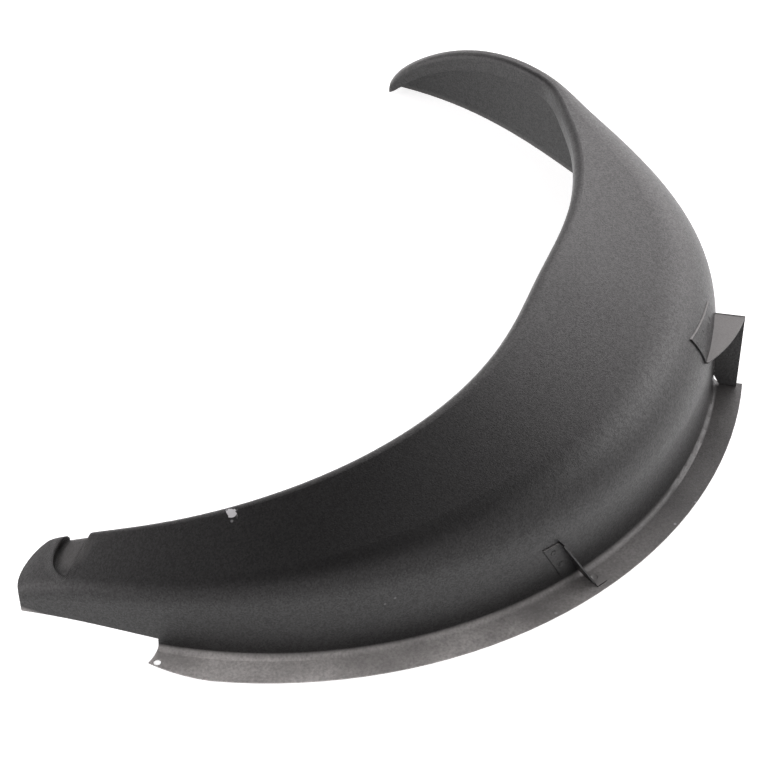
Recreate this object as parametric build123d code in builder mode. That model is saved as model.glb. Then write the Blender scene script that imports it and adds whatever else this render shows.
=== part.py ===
"""Wheel arch repair panel: a pressed steel arch with a flange and two welded brackets."""
from build123d import *
from math import cos, pi, radians, sin, tan
import os

# Sheet steel
sheet = 1.0
bracket_sheet = 1.2
weld_gap = 0.02

# Plan of the arch about the wheel axis, in degrees from the nose end to the tail end
foot_radius = 367.0
nose_angle = -10.6
round_angle = 1.0
flare_angle = 3.0
crown_angle = 92.0
waist_angle = 112.0
tail_angle = 158.0
tip_angle = 188.0
nose_flare = 7.0
tail_waist = 21.0
tail_flare = 18.0
tail_flare_power = 4
station_step = 8.5
tail_fineness = 3
nose_fineness = 4

# Cross section: wall, shoulder, sloping top face and rolled lip
wall_draft = 4.0
crown_top_width = 150.0
nose_top_width = 39.0
tail_top_width = 14.0
crown_height = 118.0
nose_height = 40.0
tail_height = 98.0
tip_height = 9.5
nose_drop = 9.0
crown_slope = 10.0
nose_slope = 22.0
tail_slope = 4.0
crown_shoulder = 62.0
nose_shoulder = 16.0
tail_shoulder = 6.0
crown_roll = 10.0
nose_roll = 4.0
tail_roll = 5.5
crown_lip = 13.0
nose_lip = 6.0
tail_lip = 17.0

# How each size leaves its crown value: a soft onset, then a power towards the nose and the tail
onset = 0.25
height_powers = (2.3, 1.1)
width_powers = (1.05, 1.35)
slope_powers = (1, 1.5)
roll_powers = (1.5, 1.5)
shoulder_tail_power = 2.3
tip_power = 0.75

# Flange along the floor, its bend, its tapered and scalloped end and the hole near that end
flange_width = 24.0
flange_start = 7.9
flange_end = 102.2
flange_bend = 4.0
bend_height = 9.0
taper_angle = 18.0
taper_depth = 10.0
scallop_radius = 32.0
scallop_angle = 4.0
scallop_offset = 4.0
hole_diameter = 5.5
hole_angle = 9.5
hole_inset = 10.5

# Bottom edge of the nose, trimmed clear of the floor from the flange down to the end
trim_rise = 10.5
trim_middle_rise = 9.6

# Rounded end of the nose in plan: its angle at the foot, in the middle and at the lip
toe_foot_angle = -8.0
toe_middle_angle = -10.3
toe_lip_angle = -6.8

# Half-round pocket in the nose's top, open to the lip, behind a straight ridge
pocket_angle = -2.8
pocket_inset = 35.0
pocket_radius = 25.0
pocket_depth = 5.0
pocket_ledge = 0.1

# Shelf bracket at the flange's end: a tab up the shoulder, a level shelf and an upright plate
shelf_height = 62.0
shelf_angle = 94.6
shelf_middle_angle = 99.0
shelf_middle_width = 9.0
tab_near_rise = 22.0
tab_far_rise = 12.0
plate_angle = 101.7
plate_lean = 17.0
plate_width = 19.0

# Gusset bracket on the wall: a slanting tab, a leaning gusset and a foot on the flange
gusset_angle = 62.0
gusset_height = 46.0
gusset_lean = 26.0
gusset_width = 18.0
gusset_tip = 2.0
gusset_tab_width = 16.0
gusset_tab_low = 12.0
foot_near_width = 5.0
foot_width = 13.0
foot_length = 14.5
foot_corner = 3.0

wall_lean = tan(radians(wall_draft))
flange_radius = foot_radius + flange_width
flange_top = sheet + weld_gap
bend_end = foot_radius + flange_bend + sheet


def share_from_crown(angle):
    """0 at the crown and 1 at the nose or the tail, with a soft onset that leaves no crease."""
    if angle < crown_angle:
        share = (crown_angle - angle) / (crown_angle - nose_angle)
    else:
        share = min((angle - crown_angle) / (tail_angle - crown_angle), 1)
    return share**2 * (1 + onset) / (share + onset)


def ease(angle, crown, nose, tail, powers):
    """A size at one angle, running from its crown value out to its value at either end."""
    nose_power, tail_power = powers
    if angle < crown_angle:
        return crown + (nose - crown) * share_from_crown(angle) ** nose_power
    return crown + (tail - crown) * share_from_crown(angle) ** tail_power


def shoulder_radius(angle):
    """Radius of the shoulder: it tightens in a soft step towards the nose and late towards the tail."""
    if angle < crown_angle:
        step = sin(pi / 2 * (crown_angle - angle) / (crown_angle - nose_angle)) ** 2
        return crown_shoulder - (crown_shoulder - nose_shoulder) * step
    fall = share_from_crown(angle) ** shoulder_tail_power
    return crown_shoulder - (crown_shoulder - tail_shoulder) * fall


def foot(angle):
    """Radius of the wall's foot: a circle, flared at both ends and drawn in at the tail's waist."""
    tail_share = max((angle - waist_angle) / (tip_angle - waist_angle), 0)
    nose_share = max((flare_angle - angle) / (flare_angle - nose_angle), 0)
    waist = tail_waist * sin(pi * tail_share) ** 2
    flare = tail_flare * tail_share**tail_flare_power + nose_flare * nose_share**2
    return foot_radius - waist + flare


def section(angle):
    """Corners and corner radii of the outer line in one radial plane, from the foot to the lip."""
    end_share = max((angle - tail_angle) / (tip_angle - tail_angle), 0)
    round_share = max((round_angle - angle) / (round_angle - nose_angle), 0)
    height = ease(angle, crown_height, nose_height, tail_height, height_powers)
    height -= (tail_height - tip_height) * (1 - (1 - end_share**2) ** tip_power)
    height -= nose_drop * (1 - (1 - round_share**2) ** tip_power)
    tail_width = tail_top_width + height * wall_lean + foot_radius - foot(max(angle, tail_angle))
    lip_radius = foot_radius - ease(angle, crown_top_width, nose_top_width, tail_width, width_powers)
    slope = radians(ease(angle, crown_slope, nose_slope, tail_slope, slope_powers))
    roll = ease(angle, crown_roll, nose_roll, tail_roll, roll_powers)
    lip = min(ease(angle, crown_lip, nose_lip, tail_lip, roll_powers), height - sheet)
    rise = tan(slope)
    corner_height = (height - (foot(angle) - lip_radius) * rise) / (1 - wall_lean * rise)
    corners = (
        (foot(angle) + sheet * wall_lean, -sheet),
        (foot(angle) - corner_height * wall_lean, corner_height),
        (lip_radius, height),
        (lip_radius - lip * sin(slope), height - lip * cos(slope)),
    )
    return corners, (shoulder_radius(angle), roll)


def radial_plane(angle):
    """Plane through the wheel axis: its x runs outwards and its y runs up."""
    outwards = (cos(radians(angle)), sin(radians(angle)), 0)
    across = (sin(radians(angle)), -cos(radians(angle)), 0)
    return Plane(origin=(0, 0, 0), x_dir=outwards, z_dir=across)


def filled_sections(growth):
    """Sections of the arch as a filled form, grown outwards: what a bracket seats on or wraps round."""
    sections = []
    for angle in stations:
        corners, radii = section(angle)
        with BuildSketch(radial_plane(angle)) as filled:
            with BuildLine():
                FilletPolyline(*corners, radius=radii)
                Polyline(corners[-1], (corners[-1][0], -sheet), corners[0])
            make_face()
            offset(amount=growth, kind=Kind.INTERSECTION)
        sections.append(filled.sketch)
    return sections


def pocket_block(growth):
    """Upright half-round block over the pocket, its straight side on the ridge, grown on every side."""
    ridge = radial_plane(pocket_angle)
    middle = ridge.from_local_coords((foot_radius - pocket_inset, 0))
    reach = pocket_radius + growth
    inner_end = middle - ridge.x_dir * reach - ridge.z_dir * growth
    outer_end = middle + ridge.x_dir * reach - ridge.z_dir * growth
    with BuildPart() as block:
        with BuildSketch():
            with BuildLine():
                ThreePointArc(inner_end, middle + ridge.z_dir * reach, outer_end)
                Line(outer_end, inner_end)
            make_face()
        extrude(amount=crown_height)
    return block.part


# Main pressing of the arch: the sheet, lofted through its radial sections
nose_count = round(nose_fineness * (round_angle - nose_angle) / station_step)
main_count = round((tail_angle - round_angle) / station_step)
tail_count = round(tail_fineness * (tip_angle - tail_angle) / station_step)
stations = [nose_angle + (round_angle - nose_angle) * n / nose_count for n in range(nose_count)]
stations += [round_angle + (tail_angle - round_angle) * n / main_count for n in range(main_count)]
stations += [tail_angle + (tip_angle - tail_angle) * n / tail_count for n in range(tail_count + 1)]
with BuildPart() as pressing:
    for angle in stations:
        corners, radii = section(angle)
        with BuildSketch(radial_plane(angle)):
            with BuildLine():
                FilletPolyline(*corners, radius=radii)
                offset(amount=sheet, side=Side.LEFT)
            make_face()
    loft()
    with BuildSketch():
        Circle(flange_radius)
    extrude(amount=-2 * sheet, mode=Mode.SUBTRACT)

    # The foot of the wall turns out into the flange, with a round bend above and below
    with BuildSketch(radial_plane(flange_start)):
        with BuildLine():
            FilletPolyline(
                (foot_radius - bend_height * wall_lean - sheet / 2, bend_height),
                (foot_radius + sheet / 2, sheet),
                (flange_radius, sheet),
                radius=(flange_bend,),
            )
            Polyline(
                (flange_radius, sheet),
                (flange_radius, 0),
                (foot_radius - sheet / 2, 0),
                (foot_radius - bend_height * wall_lean - sheet / 2, bend_height),
            )
        make_face()
    revolve(revolution_arc=flange_end - flange_start)
    with BuildSketch(radial_plane(flange_start)):
        inside = foot_radius - sheet
        cut_top = (inside - 2 * sheet, bend_height)
        cut_end = (inside + bend_height, -2 * sheet)
        with BuildLine():
            FilletPolyline(
                cut_top,
                (inside + sheet / 4, sheet / 4),
                cut_end,
                radius=(flange_bend + sheet,),
            )
            Polyline(cut_end, (inside - 2 * sheet, -2 * sheet), cut_top)
        make_face()
    revolve(revolution_arc=flange_end - flange_start, mode=Mode.SUBTRACT)

    # Tapered and scalloped end of the flange, its hole, and the trimmed bottom edge of the nose
    with BuildSketch():
        taper_plane = radial_plane(taper_angle)
        end_plane = radial_plane(flange_start)
        taper_start = taper_plane.from_local_coords((flange_radius + sheet / 2, 0))
        taper_end = end_plane.from_local_coords((flange_radius - taper_depth, 0))
        with BuildLine():
            TangentArc(taper_start, taper_end, tangent=taper_plane.z_dir)
            Polyline(
                taper_end,
                end_plane.from_local_coords((flange_radius + taper_depth, 0)),
                taper_plane.from_local_coords((flange_radius + taper_depth, 0)),
                taper_start,
            )
        make_face()
        with PolarLocations(foot_radius + scallop_offset, 1, scallop_angle):
            Circle(scallop_radius)
        with PolarLocations(flange_radius - hole_inset, 1, hole_angle):
            Circle(hole_diameter / 2)
    extrude(amount=bend_height, both=True, mode=Mode.SUBTRACT)
    with BuildSketch(Plane.YZ.offset(bend_end)):
        trim_start = (foot_radius * sin(radians(scallop_angle)) + scallop_radius, trim_rise)
        trim_end = (foot_radius * sin(radians(toe_foot_angle)) - nose_flare, 0)
        with BuildLine():
            ThreePointArc(trim_start, (0, trim_middle_rise), trim_end)
            Polyline(trim_end, (trim_end[0], -sheet), (trim_start[0], -sheet), trim_start)
        make_face()
    extrude(amount=-nose_top_width, mode=Mode.SUBTRACT)
    with BuildSketch():
        toe_foot = radial_plane(toe_foot_angle)
        toe_middle = radial_plane(toe_middle_angle)
        toe_lip = radial_plane(toe_lip_angle)
        toe_beyond = radial_plane(2 * nose_angle)
        toe_start = toe_foot.from_local_coords((flange_radius, 0))
        toe_end = toe_lip.from_local_coords((foot_radius - 2 * nose_top_width, 0))
        with BuildLine():
            Line(toe_start, toe_foot.from_local_coords((foot_radius + nose_flare, 0)))
            ThreePointArc(
                toe_foot.from_local_coords((foot_radius + nose_flare, 0)),
                toe_middle.from_local_coords((foot_radius - nose_top_width / 2, 0)),
                toe_lip.from_local_coords((foot_radius - nose_top_width - nose_lip, 0)),
            )
            Polyline(
                toe_lip.from_local_coords((foot_radius - nose_top_width - nose_lip, 0)),
                toe_end,
                toe_beyond.from_local_coords((foot_radius - 2 * nose_top_width, 0)),
                toe_beyond.from_local_coords((flange_radius, 0)),
                toe_start,
            )
        make_face()
    extrude(amount=crown_height, both=True, mode=Mode.SUBTRACT)

# Pocket in the nose: its floor is the sheet pushed down, and its wall joins that floor to the top
with BuildPart() as pocket_floor:
    add(pressing.part)
    add(pocket_block(0), mode=Mode.INTERSECT)
with BuildPart() as pocket_top:
    loft(filled_sections(-pocket_ledge))
    add(pocket_block(sheet), mode=Mode.INTERSECT)
with BuildPart() as pocket_wall:
    add(pocket_top.part)
    add(pocket_top.part.moved(Location((0, 0, -pocket_depth - sheet))), mode=Mode.SUBTRACT)
    add(pocket_block(0), mode=Mode.INTERSECT)
    add(pocket_block(-sheet), mode=Mode.SUBTRACT)

# Arch shell: the pressing with its pocket
with BuildPart() as arch_shell:
    add(pressing.part)
    add(pocket_block(0), mode=Mode.SUBTRACT)
    add(pocket_wall.part)
    add(pocket_floor.part.moved(Location((0, 0, -pocket_depth))))

# Forms that the brackets are cut to: the arch with its flange bend, and one bracket sheet over it
with BuildPart() as seat:
    loft(filled_sections(weld_gap))
    with BuildSketch(radial_plane(flange_start)):
        with BuildLine():
            Polyline(
                (foot_radius - bend_height, 0),
                (flange_radius, 0),
                (flange_radius, flange_top),
                (bend_end, flange_top),
                (foot_radius - bend_height * wall_lean, bend_height),
                (foot_radius - bend_height, bend_height),
                close=True,
            )
        make_face()
    revolve(revolution_arc=flange_end - flange_start)
with BuildPart() as wrap:
    loft(filled_sections(weld_gap + bracket_sheet))

# Shelf bracket: folded from one strip and welded to the shoulder above the flange's end
lip_reach = foot_radius - nose_top_width
shelf_end = radial_plane(shelf_angle)
shelf_middle = radial_plane(shelf_middle_angle)
plate_foot = radial_plane(plate_angle)
plate_along = Vector(0, 0, 1).cross(plate_foot.x_dir)
plate_run = plate_along * tan(radians(plate_lean))
plate_shift = plate_run * (shelf_height - flange_top)
plate_up = Vector(0, 0, 1) + plate_run
shelf_far_edge = plate_foot.from_local_coords((lip_reach, 0)) + plate_shift
shelf_far_corner = plate_foot.from_local_coords((foot_radius + plate_width, 0)) + plate_shift
tab_plane = Plane(shelf_middle.x_dir * foot_radius, x_dir=shelf_middle.z_dir * -1, z_dir=shelf_middle.x_dir)
tab_near = tab_plane.to_local_coords(shelf_end.from_local_coords((foot_radius, 0))).X
tab_far = tab_plane.to_local_coords(shelf_far_edge).X
with BuildPart() as shelf_bracket:
    with BuildSketch(tab_plane):
        with BuildLine():
            Polyline(
                (tab_near, shelf_height - bracket_sheet),
                (tab_far, shelf_height - bracket_sheet),
                (tab_far, shelf_height + tab_far_rise),
                (tab_near, shelf_height + tab_near_rise),
                close=True,
            )
        make_face()
    extrude(amount=nose_top_width, both=True)
    add(wrap.part, mode=Mode.INTERSECT)
    with BuildSketch(Plane.XY.offset(shelf_height - bracket_sheet)):
        shelf_start = shelf_end.from_local_coords((lip_reach, 0))
        shelf_near = shelf_end.from_local_coords((foot_radius - shelf_height * wall_lean, 0))
        with BuildLine():
            ThreePointArc(
                shelf_near,
                shelf_middle.from_local_coords((foot_radius + shelf_middle_width, 0)),
                shelf_far_corner,
            )
            Polyline(shelf_far_corner, shelf_far_edge, shelf_start, shelf_near)
        make_face()
    extrude(amount=bracket_sheet)
    plate_normal = plate_foot.x_dir.cross(plate_up)
    with BuildSketch(Plane((0, 0, flange_top), x_dir=plate_foot.x_dir, z_dir=plate_normal)):
        plate_slant = (shelf_height - flange_top) / cos(radians(plate_lean))
        with BuildLine():
            Polyline(
                (lip_reach, 0),
                (foot_radius + plate_width, 0),
                (foot_radius + plate_width, plate_slant),
                (lip_reach, plate_slant),
                close=True,
            )
        make_face()
    extrude(amount=bracket_sheet)
    add(seat.part, mode=Mode.SUBTRACT)

# Gusset bracket: tab on the wall, gusset leaning towards it, foot on the flange
gusset_radial = radial_plane(gusset_angle)
gusset_out = gusset_radial.x_dir
gusset_along = Vector(0, 0, 1).cross(gusset_out)
lean_run = tan(radians(gusset_lean))
gusset_up = Vector(0, 0, 1) - gusset_along * lean_run
gusset_base = Vector(0, 0, flange_top)
with BuildPart() as gusset_bracket:
    with BuildSketch(Plane(gusset_out * foot_radius, x_dir=gusset_along, z_dir=gusset_out)):
        with BuildLine():
            Polyline(
                (-gusset_tab_low * lean_run - gusset_tab_width, gusset_tab_low),
                (-gusset_height * lean_run - gusset_tab_width, gusset_height),
                (-gusset_height * lean_run, gusset_height),
                (0, 0),
                close=True,
            )
        make_face()
    extrude(amount=nose_top_width, both=True)
    add(wrap.part, mode=Mode.INTERSECT)
    with BuildSketch(Plane(gusset_base, x_dir=gusset_out, z_dir=gusset_out.cross(gusset_up))):
        with BuildLine():
            slant_height = gusset_height / cos(radians(gusset_lean))
            Polyline(
                (lip_reach, 0),
                (foot_radius + gusset_width, 0),
                (foot_radius + gusset_tip, slant_height),
                (lip_reach, slant_height),
                close=True,
            )
        make_face()
    extrude(amount=bracket_sheet)
    with BuildSketch(Plane(gusset_base, x_dir=gusset_out, z_dir=(0, 0, 1))):
        with BuildLine():
            foot_outer = bend_end + foot_length
            FilletPolyline(
                (bend_end, -bracket_sheet),
                (bend_end, foot_near_width),
                (foot_outer, foot_width),
                (foot_outer, -bracket_sheet),
                radius=(bracket_sheet, foot_corner),
            )
            Line((foot_outer, -bracket_sheet), (bend_end, -bracket_sheet))
        make_face()
    extrude(amount=bracket_sheet)
    add(seat.part, mode=Mode.SUBTRACT)

# The frame's origin is the middle of the arch's outline, on the floor
outline = arch_shell.part.bounding_box()
to_origin = Location((-outline.center().X, -outline.center().Y, -outline.min.Z))

os.makedirs("parts", exist_ok=True)
arch_shell.part.move(to_origin)
arch_shell.part.label = "arch_shell"
export_step(arch_shell.part, "parts/arch_shell.step")
shelf_bracket.part.move(to_origin)
shelf_bracket.part.label = "shelf_bracket"
export_step(shelf_bracket.part, "parts/shelf_bracket.step")
gusset_bracket.part.move(to_origin)
gusset_bracket.part.label = "gusset_bracket"
export_step(gusset_bracket.part, "parts/gusset_bracket.step")
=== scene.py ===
import bpy
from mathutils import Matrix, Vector

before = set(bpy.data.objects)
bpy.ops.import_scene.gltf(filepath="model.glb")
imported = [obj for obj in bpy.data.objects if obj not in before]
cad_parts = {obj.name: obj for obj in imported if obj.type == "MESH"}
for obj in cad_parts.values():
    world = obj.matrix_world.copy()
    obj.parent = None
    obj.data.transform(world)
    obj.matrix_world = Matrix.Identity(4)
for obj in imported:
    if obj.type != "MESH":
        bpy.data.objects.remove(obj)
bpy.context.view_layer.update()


# Arch shell: the main pressing, about 1 mm mild steel sheet drawn in one hit, with its foot turned out
# into a flange and its free edge rolled over. It is dipped and baked in a black primer with a fine
# orange peel, and carries one chip where the coating has been knocked off near the lip.
primer_dark = (0.0030, 0.0029, 0.0029, 1)
primer_light = (0.0130, 0.0124, 0.0127, 1)
primer_specular = 0.41
arch_roughness = 0.40
cut_edge_radius = 0.0004
pressed_edge_radius = 0.0080


def feed(tree, value, socket):
    """Link an output to an input, or set the input to a plain value."""
    if isinstance(value, bpy.types.NodeSocket):
        tree.links.new(value, socket)
    else:
        socket.default_value = value


def add_math(tree, operation, *values, clamp=False):
    """One step of arithmetic on outputs and numbers."""
    step = tree.nodes.new("ShaderNodeMath")
    step.operation = operation
    step.use_clamp = clamp
    for value, socket in zip(values, step.inputs):
        feed(tree, value, socket)
    return step.outputs["Value"]


def add_place_math(tree, operation, *values):
    """One step of arithmetic on places and directions, returned as all of its outputs."""
    step = tree.nodes.new("ShaderNodeVectorMath")
    step.operation = operation
    for value, socket in zip(values, step.inputs):
        feed(tree, value, socket)
    return step.outputs


def add_range(tree, value, start=0.0, end=1.0, low=0.0, high=1.0, curve="LINEAR"):
    """A value that runs from start to end, carried over to run from low to high."""
    carried = tree.nodes.new("ShaderNodeMapRange")
    carried.interpolation_type = curve
    feed(tree, value, carried.inputs["Value"])
    feed(tree, start, carried.inputs["From Min"])
    feed(tree, end, carried.inputs["From Max"])
    feed(tree, low, carried.inputs["To Min"])
    feed(tree, high, carried.inputs["To Max"])
    return carried.outputs["Result"]


def add_mix(tree, share, first, second):
    """Two colours mixed, by the share of the second."""
    mix = tree.nodes.new("ShaderNodeMix")
    mix.data_type = "RGBA"
    feed(tree, share, mix.inputs["Factor"])
    feed(tree, first, mix.inputs["A"])
    feed(tree, second, mix.inputs["B"])
    return mix.outputs["Result"]


def add_noise(tree, scale, detail):
    """Soft noise laid on the piece's own coordinates."""
    place = tree.nodes.new("ShaderNodeTexCoord")
    noise = tree.nodes.new("ShaderNodeTexNoise")
    noise.inputs["Scale"].default_value = scale
    noise.inputs["Detail"].default_value = detail
    tree.links.new(place.outputs["Object"], noise.inputs["Vector"])
    return noise.outputs["Fac"]


def add_sockets(group, direction, kinds):
    """The named sockets on one side of a node group."""
    for name, kind in kinds.items():
        group.interface.new_socket(name, in_out=direction, socket_type="NodeSocket" + kind)


def coating_group():
    """Black baked primer: cloudy tone, glinting flakes, fine grain, orange peel and a rubbed sheen."""
    group = bpy.data.node_groups.new("baked_primer", "ShaderNodeTree")
    add_sockets(group, "INPUT", {"Dark": "Color", "Light": "Color", "Roughness": "Float"})
    add_sockets(group, "OUTPUT", {"Color": "Color", "Roughness": "Float"})
    add_sockets(group, "OUTPUT", {"Glint": "Float", "Height": "Float"})
    inputs = group.nodes.new("NodeGroupInput").outputs
    outputs = group.nodes.new("NodeGroupOutput").inputs

    clouds = add_noise(group, scale=9.0, detail=4.0)
    grain = add_noise(group, scale=900.0, detail=2.0)
    peel = add_noise(group, scale=260.0, detail=1.0)
    place = group.nodes.new("ShaderNodeTexCoord")
    flakes = group.nodes.new("ShaderNodeTexVoronoi")
    flakes.inputs["Scale"].default_value = 850.0
    group.links.new(place.outputs["Object"], flakes.inputs["Vector"])
    flake_parts = group.nodes.new("ShaderNodeSeparateColor")
    group.links.new(flakes.outputs["Color"], flake_parts.inputs["Color"])

    speckle_share = 0.25
    cloud_share = 0.45
    speckle = add_math(group, "MULTIPLY", flake_parts.outputs["Green"], speckle_share)
    tone = add_math(group, "MULTIPLY_ADD", clouds, cloud_share, speckle)
    feed(group, add_mix(group, tone, inputs["Dark"], inputs["Light"]), outputs["Color"])
    sheen = add_range(group, clouds, low=-0.05, high=0.06)
    feed(group, add_math(group, "ADD", inputs["Roughness"], sheen), outputs["Roughness"])
    feed(group, add_range(group, flake_parts.outputs["Red"], high=0.46), outputs["Glint"])
    peel_share = 0.10
    feed(group, add_math(group, "MULTIPLY_ADD", peel, peel_share, grain), outputs["Height"])
    return group


baked_primer = coating_group()


def primer_material(name, roughness):
    """A black primer finish for one piece, with its nodes named so that marks can be added."""
    material = bpy.data.materials.new(name)
    material.use_nodes = True
    nodes, links = material.node_tree.nodes, material.node_tree.links
    shader = nodes["Principled BSDF"]
    shader.inputs["Specular IOR Level"].default_value = primer_specular
    shader.inputs["Coat Roughness"].default_value = roughness
    coat = nodes.new("ShaderNodeGroup")
    coat.name = "coat"
    coat.node_tree = baked_primer
    coat.inputs["Dark"].default_value = primer_dark
    coat.inputs["Light"].default_value = primer_light
    coat.inputs["Roughness"].default_value = roughness
    links.new(coat.outputs["Color"], shader.inputs["Base Color"])
    links.new(coat.outputs["Roughness"], shader.inputs["Roughness"])
    links.new(coat.outputs["Glint"], shader.inputs["Coat Weight"])
    cut_edge = nodes.new("ShaderNodeBevel")
    cut_edge.name = "cut_edge"
    cut_edge.samples = 4
    cut_edge.inputs["Radius"].default_value = cut_edge_radius
    bump = nodes.new("ShaderNodeBump")
    bump.name = "bump"
    bump.inputs["Strength"].default_value = 0.32
    bump.inputs["Distance"].default_value = 0.0006
    links.new(coat.outputs["Height"], bump.inputs["Height"])
    links.new(cut_edge.outputs["Normal"], bump.inputs["Normal"])
    links.new(bump.outputs["Normal"], shader.inputs["Normal"])
    return material


def spot_group():
    """A spot with a ragged rim about a point of the piece: 1 inside and 0 outside."""
    group = bpy.data.node_groups.new("ragged_spot", "ShaderNodeTree")
    add_sockets(group, "INPUT", {"Centre": "Vector", "Stretch": "Vector"})
    add_sockets(group, "INPUT", {"Radius": "Float", "Ragged": "Float", "Soft": "Float"})
    add_sockets(group, "OUTPUT", {"Mask": "Float"})
    inputs = group.nodes.new("NodeGroupInput").outputs
    outputs = group.nodes.new("NodeGroupOutput").inputs
    place = group.nodes.new("ShaderNodeTexCoord")
    offset = add_place_math(group, "SUBTRACT", place.outputs["Object"], inputs["Centre"])["Vector"]
    stretched = add_place_math(group, "MULTIPLY", offset, inputs["Stretch"])["Vector"]
    reach = add_place_math(group, "LENGTH", stretched)["Value"]
    noise_middle = 0.5
    rim = add_math(group, "SUBTRACT", add_noise(group, scale=170.0, detail=3.0), noise_middle)
    wander = add_math(group, "MULTIPLY_ADD", rim, inputs["Ragged"], reach)
    outer = add_math(group, "ADD", inputs["Radius"], inputs["Soft"])
    mask = add_range(group, wander, start=inputs["Radius"], end=outer, low=1.0, high=0.0, curve="SMOOTHSTEP")
    feed(group, mask, outputs["Mask"])
    return group


ragged_spot = spot_group()


def add_spot(tree, centre, radius, ragged, soft, stretch=(1, 1, 1)):
    """One ragged spot in a material, returned as its mask."""
    spot = tree.nodes.new("ShaderNodeGroup")
    spot.node_tree = ragged_spot
    spot.inputs["Centre"].default_value = centre
    spot.inputs["Stretch"].default_value = stretch
    spot.inputs["Radius"].default_value = radius
    spot.inputs["Ragged"].default_value = ragged
    spot.inputs["Soft"].default_value = soft
    return spot.outputs["Mask"]


arch_coating = primer_material("arch_coating", arch_roughness)
arch_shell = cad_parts["arch_shell"]
arch_shell.data.materials.clear()
arch_shell.data.materials.append(arch_coating)
arch_tree = arch_coating.node_tree
arch_coat = arch_tree.nodes["coat"].outputs

# The coating pools over the pressed edges of the pocket in the nose and rounds them.
pocket_stretch = (1, 1, 0.5)
pocket = add_spot(
    arch_tree, (0.3300, -0.1900, 0.0380), radius=0.024, ragged=0.0, soft=0.012, stretch=pocket_stretch
)
edge_radius = add_range(arch_tree, pocket, low=cut_edge_radius, high=pressed_edge_radius)
feed(arch_tree, edge_radius, arch_tree.nodes["cut_edge"].inputs["Radius"])

# The flange's upper face and the bend above it are painted a paler grey, most of all towards the nose:
# a painted highlight for the light the flange catches, broken up with a dusty grain. The pocket floor gets a
# faint one too.
painted_highlight_colour = (0.66, 0.64, 0.625, 1)
flange_face_height = 0.0008
flange_bend_height = 0.0060
arch_place = arch_tree.nodes.new("ShaderNodeTexCoord")
arch_parts = arch_tree.nodes.new("ShaderNodeSeparateXYZ")
arch_tree.links.new(arch_place.outputs["Object"], arch_parts.inputs["Vector"])
low_down = add_range(
    arch_tree, arch_parts.outputs["Z"], start=flange_face_height, end=flange_bend_height, low=1.0, high=0.0
)
highlight_grain = add_noise(arch_tree, scale=520.0, detail=4.0)
highlight_drift = add_noise(arch_tree, scale=24.0, detail=2.0)
flange_highlight_grain = add_range(arch_tree, add_math(arch_tree, "MULTIPLY", highlight_grain, highlight_drift), start=0.10, end=0.42, low=0.48)
highlight_fade = add_range(arch_tree, arch_parts.outputs["X"], start=0.08, end=0.37, low=0.15)
flange_highlight_share = add_math(arch_tree, "MULTIPLY", flange_highlight_grain, highlight_fade)
# A faint paler grey on the pocket floor: a painted highlight where the floor is lit.
pocket_highlight = add_spot(
    arch_tree, (0.3310, -0.1905, 0.0360), radius=0.010, ragged=0.004, soft=0.012, stretch=pocket_stretch
)
pocket_highlight_share = 0.07
pocket_painted_highlight = add_math(arch_tree, "MULTIPLY", pocket_highlight, pocket_highlight_share)
painted_highlight_share = add_math(arch_tree, "MULTIPLY_ADD", low_down, flange_highlight_share, pocket_painted_highlight)
painted_highlit_colour = add_mix(arch_tree, painted_highlight_share, arch_coat["Color"], painted_highlight_colour)

# The chip and a few nicks show the bare zinc under the coating. Each nick has its centre, its radius and
# the share of the coating that is gone.
zinc_colour = (0.52, 0.52, 0.53, 1)
chip_depth = -1.2
nicks = (
    ((0.2931, -0.0751, 0.0808), 0.0009, 0.30),
    ((0.0971, 0.2122, 0.0010), 0.0008, 0.50),
    ((0.0675, 0.2207, 0.0010), 0.0008, 0.50),
    ((0.2203, 0.1556, 0.0010), 0.0007, 0.45),
    ((0.2921, 0.0536, 0.0491), 0.0005, 0.15),
    ((0.2966, 0.0475, 0.0448), 0.0005, 0.15),
)
chip = add_spot(
    arch_tree, (0.2872, -0.0770, 0.0827), radius=0.0034, ragged=0.011, soft=0.0006, stretch=(1.0, 0.8, 1.0)
)
bare = chip
for nick_centre, nick_radius, bare_share in nicks:
    nick = add_spot(arch_tree, nick_centre, nick_radius, ragged=0.002, soft=0.0008)
    bare = add_math(arch_tree, "MULTIPLY_ADD", nick, bare_share, bare, clamp=True)
worn_colour = add_mix(arch_tree, bare, painted_highlit_colour, zinc_colour)
feed(arch_tree, worn_colour, arch_tree.nodes["Principled BSDF"].inputs["Base Color"])
chipped_height = add_math(arch_tree, "MULTIPLY_ADD", chip, chip_depth, arch_coat["Height"])
feed(arch_tree, chipped_height, arch_tree.nodes["bump"].inputs["Height"])


# Shelf bracket and gusset bracket: strips of 1.2 mm sheet, folded and spot-welded to the arch before
# the whole panel is coated. Each weld leaves a small print, and the faces that point up are painted paler: a
# painted highlight.
bracket_roughness = 0.42
bracket_highlight_colour = (0.50, 0.485, 0.475, 1)
weld_depth = -9.0
weld_centres = (
    (-0.0686, 0.1853, 0.0712),
    (-0.0454, 0.1859, 0.0760),
    (-0.0268, 0.1868, 0.0786),
    (0.1978, 0.1437, 0.0396),
    (0.1918, 0.1486, 0.0244),
    (0.1755, 0.1715, 0.0022),
)
bracket_coating = primer_material("bracket_coating", bracket_roughness)
for name in ("shelf_bracket", "gusset_bracket"):
    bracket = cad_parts[name]
    bracket.data.materials.clear()
    bracket.data.materials.append(bracket_coating)
bracket_tree = bracket_coating.node_tree
bracket_coat = bracket_tree.nodes["coat"].outputs

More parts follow.
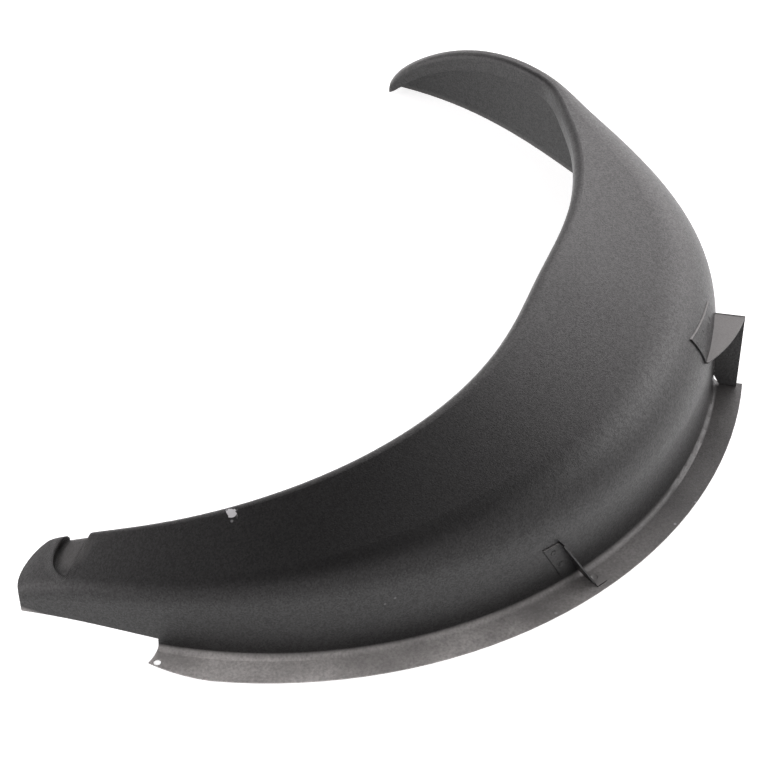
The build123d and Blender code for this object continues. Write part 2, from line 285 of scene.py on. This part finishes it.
relief = bracket_coat["Height"]
for weld_centre in weld_centres:
    weld = add_spot(bracket_tree, weld_centre, radius=0.0016, ragged=0.0006, soft=0.0012)
    relief = add_math(bracket_tree, "MULTIPLY_ADD", weld, weld_depth, relief)
feed(bracket_tree, relief, bracket_tree.nodes["bump"].inputs["Height"])
# Faces that point up get a paler grey: a painted highlight for the light from above.
lying = bracket_tree.nodes.new("ShaderNodeNewGeometry")
lying_parts = bracket_tree.nodes.new("ShaderNodeSeparateXYZ")
bracket_tree.links.new(lying.outputs["Normal"], lying_parts.inputs["Vector"])
painted_level_highlight = add_range(bracket_tree, lying_parts.outputs["Z"], start=0.93, end=0.99, high=0.34)
bracket_highlit_colour = add_mix(bracket_tree, painted_level_highlight, bracket_coat["Color"], bracket_highlight_colour)
feed(bracket_tree, bracket_highlit_colour, bracket_tree.nodes["Principled BSDF"].inputs["Base Color"])


# Floor, light and camera: a white sweep under a soft studio sky that is bright low down and dark
# overhead, with a broad bright panel behind the crown, a smaller one beside the nose, and a soft box.
floor_drop = -0.0003
floor_colour = (0.9, 0.9, 0.9, 1)
floor_glow_seen = 0.72
floor_glow_mirrored = 0.75
bpy.ops.object.select_all(action="DESELECT")
bpy.ops.mesh.primitive_plane_add(size=14, location=(0, 0, floor_drop))
floor = bpy.context.object
floor.name = "floor"
white_sweep = bpy.data.materials.new("white_sweep")
white_sweep.use_nodes = True
sweep_tree = white_sweep.node_tree
sweep_tree.nodes.clear()
surface = sweep_tree.nodes.new("ShaderNodeOutputMaterial")
paper = sweep_tree.nodes.new("ShaderNodeBsdfDiffuse")
paper.inputs["Color"].default_value = floor_colour
path = sweep_tree.nodes.new("ShaderNodeLightPath")
mirrored = add_math(sweep_tree, "MULTIPLY", path.outputs["Is Glossy Ray"], floor_glow_mirrored)
seen = add_math(sweep_tree, "MULTIPLY_ADD", path.outputs["Is Camera Ray"], floor_glow_seen, mirrored)
glow = sweep_tree.nodes.new("ShaderNodeEmission")
glow.inputs["Color"].default_value = (1, 1, 1, 1)
sweep_tree.links.new(seen, glow.inputs["Strength"])
both = sweep_tree.nodes.new("ShaderNodeAddShader")
sweep_tree.links.new(paper.outputs["BSDF"], both.inputs[0])
sweep_tree.links.new(glow.outputs["Emission"], both.inputs[1])
sweep_tree.links.new(both.outputs["Shader"], surface.inputs["Surface"])
floor.data.materials.append(white_sweep)

crown_panel_way = (-0.80, 0.15, 0.58)
nose_panel_way = (0.42, -0.88, 0.22)
sky = bpy.data.worlds.new("studio_sky")
bpy.context.scene.world = sky
sky.use_nodes = True
sky_tree = sky.node_tree
sky_place = sky_tree.nodes.new("ShaderNodeTexCoord")
sky_way = sky_place.outputs["Generated"]
sky_parts = sky_tree.nodes.new("ShaderNodeSeparateXYZ")
sky_tree.links.new(sky_way, sky_parts.inputs["Vector"])
ramp = sky_tree.nodes.new("ShaderNodeValToRGB")
ramp.color_ramp.elements[0].position = 0.55
ramp.color_ramp.elements[0].color = (1, 0.965, 0.975, 1)
ramp.color_ramp.elements[1].position = 0.91
ramp.color_ramp.elements[1].color = (0.06, 0.06, 0.06, 1)
sky_tree.links.new(sky_parts.outputs["Z"], ramp.inputs["Fac"])
towards_crown = add_place_math(sky_tree, "DOT_PRODUCT", sky_way, crown_panel_way)["Value"]
crown_panel = add_range(
    sky_tree, towards_crown, start=0.70, end=0.97, low=1.0, high=3.2, curve="SMOOTHSTEP"
)
towards_nose = add_place_math(sky_tree, "DOT_PRODUCT", sky_way, nose_panel_way)["Value"]
nose_panel = add_range(sky_tree, towards_nose, start=0.84, end=0.97, high=1.7, curve="SMOOTHSTEP")
background = sky_tree.nodes["Background"]
sky_tree.links.new(ramp.outputs["Color"], background.inputs["Color"])
feed(sky_tree, add_math(sky_tree, "ADD", crown_panel, nose_panel), background.inputs["Strength"])

target = Vector((0.0312, -0.0597, 0.0))
box_data = bpy.data.lights.new("soft_box", "AREA")
box_data.shape = "RECTANGLE"
box_data.size = 1.6
box_data.size_y = 1.2
box_data.energy = 12
soft_box = bpy.data.objects.new("soft_box", box_data)
bpy.context.scene.collection.objects.link(soft_box)
soft_box.location = (-1.3, 1.9, 1.3)
soft_box.rotation_euler = (target - soft_box.location).to_track_quat("-Z", "Y").to_euler()

camera_data = bpy.data.cameras.new("camera")
camera_data.lens = 102.86
camera_data.sensor_width = 36
camera = bpy.data.objects.new("camera", camera_data)
bpy.context.scene.collection.objects.link(camera)
camera.location = (1.2964, 0.4515, 1.2438)
camera.rotation_euler = (target - camera.location).to_track_quat("-Z", "Y").to_euler()
bpy.context.scene.camera = camera

bpy.context.scene.view_settings.view_transform = "Standard"
